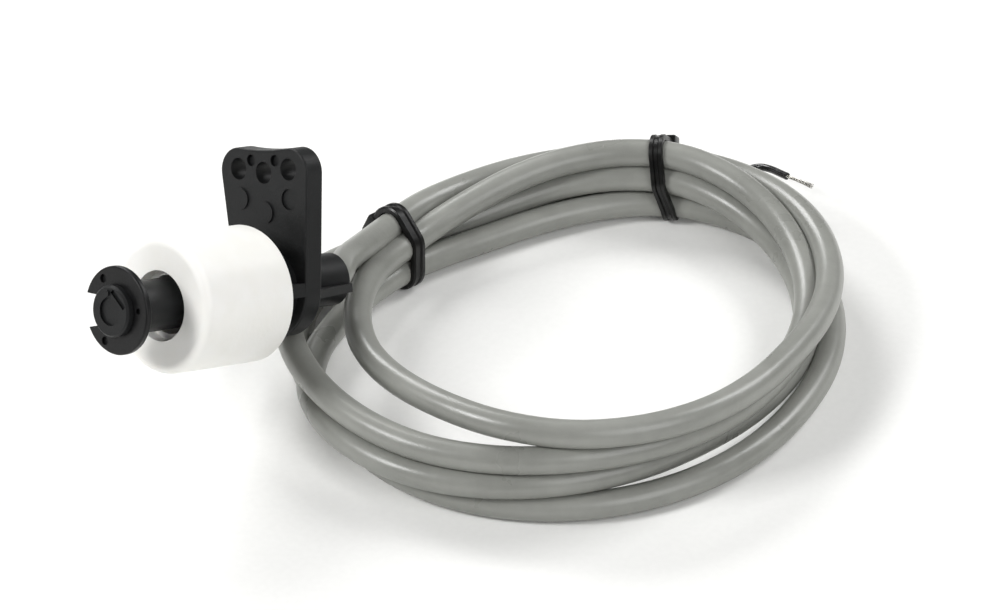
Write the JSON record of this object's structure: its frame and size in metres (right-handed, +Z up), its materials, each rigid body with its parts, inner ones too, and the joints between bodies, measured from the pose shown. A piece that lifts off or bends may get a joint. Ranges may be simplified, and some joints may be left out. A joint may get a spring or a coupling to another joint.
{
  "type": "cable float switch",
  "caption": "Small float switch: a float with a magnet slides on a moulded stem with a screw-on bracket plate, wired by a tied coil of cable with bare ends.",
  "frame": {"origin": "centre of the bracket plate's middle screw hole, half way through the plate", "axes": "+Z up and the coil flat on a level surface below; +X right and +Y away as seen from the side that shows the float left and the coil right"},
  "size_m": [0.1238, 0.0958, 0.0446],
  "materials": {
    "housing_plastic": "moulded black, satin",
    "clip_plastic": "moulded black, satin",
    "float_plastic": "moulded white, satin",
    "magnet_ferrite": "sintered, dull",
    "reed_glass": "clear, green tint",
    "reed_alloy": "drawn",
    "core_black_pvc": "extruded",
    "core_white_pvc": "extruded",
    "tinned_copper": "tinned",
    "solder": "bright",
    "potting_resin": "cast",
    "jacket_pvc": "extruded grey, satin",
    "tie_nylon": "moulded black, satin"
  },
  "bodies": {
    "switch": {"housing": "housing_plastic", "retaining_clip": "clip_plastic", "reed_glass_tube": "reed_glass", "reed_blade_front": "reed_alloy", "reed_blade_rear": "reed_alloy", "inner_core_black": "core_black_pvc", "inner_core_white": "core_white_pvc", "inner_strands_black": "tinned_copper", "inner_strands_white": "tinned_copper", "solder_front": "solder", "solder_rear": "solder", "potting": "potting_resin", "cable_coil": "jacket_pvc", "cable_at_switch": "jacket_pvc", "cable_free_end": "jacket_pvc", "core_black": "core_black_pvc", "core_black_strands": "tinned_copper", "core_white": "core_white_pvc", "core_white_strands": "tinned_copper", "tie_left": "tie_nylon", "tie_right": "tie_nylon"},
    "float": {"float_shell": "float_plastic", "float_cap": "float_plastic", "float_magnet": "magnet_ferrite"}
  },
  "joints": [
    {"name": "float_slide", "type": "slide", "parent": "switch", "child": "float", "axis": [-0.6886, -0.6377, 0.3453], "range_m": [0, 0.0081]}
  ]
}
